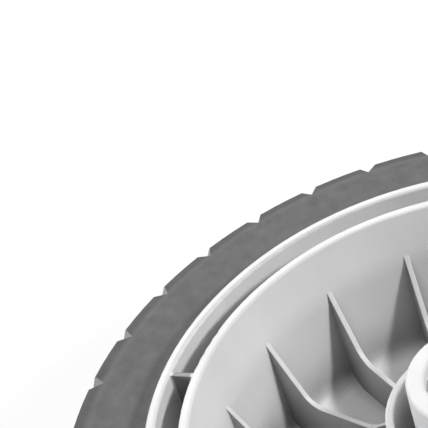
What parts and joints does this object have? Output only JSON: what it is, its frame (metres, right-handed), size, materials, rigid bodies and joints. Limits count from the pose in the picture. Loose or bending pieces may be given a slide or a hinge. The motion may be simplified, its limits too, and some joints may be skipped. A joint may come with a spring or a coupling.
{
  "type": "lawn mower wheel",
  "caption": "Lawn mower wheel: notched rubber tyre on a light grey moulded rim with a ribbed dish, a collared hub and ball bearings for the axle.",
  "frame": {"origin": "on the axle line, in the plane of the rear lip on which the wheel lies", "axes": "+Z along the axle line towards the front face with the ribs; +X along one rib and one channel web"},
  "size_m": [0.201, 0.201, 0.0543],
  "materials": {
    "rim_plastic": "satin",
    "tyre_rubber": "matte",
    "bearing_steel": "ground",
    "spacer_steel": "zinc plated",
    "cage_nylon": "satin",
    "seal_rubber": "matte"
  },
  "bodies": {
    "wheel": {"wheel_moulding": "rim_plastic", "tyre": "tyre_rubber", "front_outer_ring": "bearing_steel", "front_seal_low": "seal_rubber", "front_seal_high": "seal_rubber", "rear_outer_ring": "bearing_steel", "rear_seal_low": "seal_rubber", "rear_seal_high": "seal_rubber"},
    "axle_sleeve": {"spacer_sleeve": "spacer_steel", "front_inner_ring": "bearing_steel", "rear_inner_ring": "bearing_steel"},
    "front_ball_set": {"front_cage": "cage_nylon", "front_ball_01": "bearing_steel", "front_ball_02": "bearing_steel", "front_ball_03": "bearing_steel", "front_ball_04": "bearing_steel", "front_ball_05": "bearing_steel", "front_ball_06": "bearing_steel", "front_ball_07": "bearing_steel", "front_ball_08": "bearing_steel", "front_ball_09": "bearing_steel", "front_ball_10": "bearing_steel"},
    "rear_ball_set": {"rear_cage": "cage_nylon", "rear_ball_01": "bearing_steel", "rear_ball_02": "bearing_steel", "rear_ball_03": "bearing_steel", "rear_ball_04": "bearing_steel", "rear_ball_05": "bearing_steel", "rear_ball_06": "bearing_steel", "rear_ball_07": "bearing_steel", "rear_ball_08": "bearing_steel", "rear_ball_09": "bearing_steel", "rear_ball_10": "bearing_steel"}
  },
  "joints": [
    {"name": "axle_spin", "type": "hinge", "parent": "wheel", "child": "axle_sleeve", "pos_m": [0, 0, 0.02865], "axis": [0, 0, 1], "continuous": true},
    {"name": "front_balls_spin", "type": "hinge", "parent": "wheel", "child": "front_ball_set", "pos_m": [0, 0, 0.0483], "axis": [0, 0, 1], "continuous": true},
    {"name": "rear_balls_spin", "type": "hinge", "parent": "wheel", "child": "rear_ball_set", "pos_m": [0, 0, 0.009], "axis": [0, 0, 1], "continuous": true}
  ],
  "couplings": [
    {"joint": "front_balls_spin", "follows": "axle_spin", "ratio": 0.40278},
    {"joint": "rear_balls_spin", "follows": "axle_spin", "ratio": 0.40278}
  ]
}
